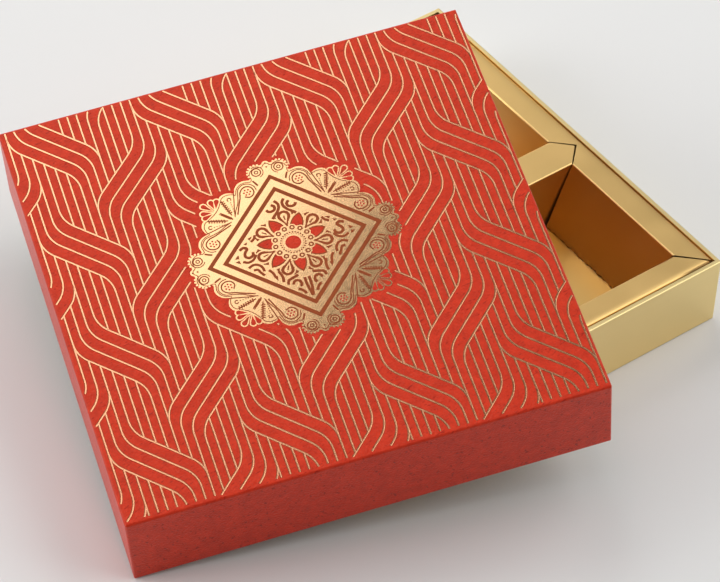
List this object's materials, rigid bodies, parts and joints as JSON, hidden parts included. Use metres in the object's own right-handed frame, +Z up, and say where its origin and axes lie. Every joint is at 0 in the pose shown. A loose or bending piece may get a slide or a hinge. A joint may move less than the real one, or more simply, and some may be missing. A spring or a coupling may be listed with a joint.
{
  "type": "sweet box with lift-off lid",
  "caption": "Square rigid gift box for sweets: a shallow tray with a folded card insert divided into pockets, and a deep lift-off lid that leans across it.",
  "frame": {"origin": "centre of the tray's flat underside, on the table", "axes": "+Z up out of the tray; +X to the tray's right and +Y to its back, along its sides, seen with the lid leaning over the tray's front"},
  "size_m": [0.2587, 0.291, 0.0965],
  "materials": {
    "red_wrap": "matt, finely embossed paper, printed with gold foil",
    "gold_foil": "bright hot-stamped gold foil, pressed a little into the red paper",
    "gold_wrap": "satin metallic gold paper",
    "gold_card": "satin metallic gold card, bright along the folds",
    "grey_board": "uncoated grey board",
    "lining_paper": "matt uncoated paper",
    "corner_tape": "gummed kraft tape"
  },
  "bodies": {
    "tray": {"tray_board": "grey_board", "tray_wrap": "gold_wrap", "tray_lining": "lining_paper", "tray_base_sheet": "gold_wrap", "tray_stay_front_left": "corner_tape", "tray_stay_front_right": "corner_tape", "tray_stay_back_left": "corner_tape", "tray_stay_back_right": "corner_tape"},
    "insert": {"insert_floor": "gold_card", "insert_strip_front": "gold_card", "insert_strip_back": "gold_card", "insert_strip_left": "gold_card", "insert_strip_right": "gold_card", "divider_front": "gold_card", "divider_back": "gold_card", "divider_left": "gold_card", "divider_right": "gold_card"},
    "lid": {"lid_board": "grey_board", "lid_wrap": "red_wrap", "lid_lining": "lining_paper", "lid_stay_front_left": "corner_tape", "lid_stay_front_right": "corner_tape", "lid_stay_back_left": "corner_tape", "lid_stay_back_right": "corner_tape"}
  },
  "joints": [
    {"name": "insert_lift", "type": "slide", "parent": "tray", "child": "insert", "axis": [0, 0, 1], "range_m": [0, 0.06]},
    {"name": "lid_lift", "type": "slide", "parent": "insert", "child": "lid", "axis": [0, 0, 1], "range_m": [0, 0.12]}
  ]
}
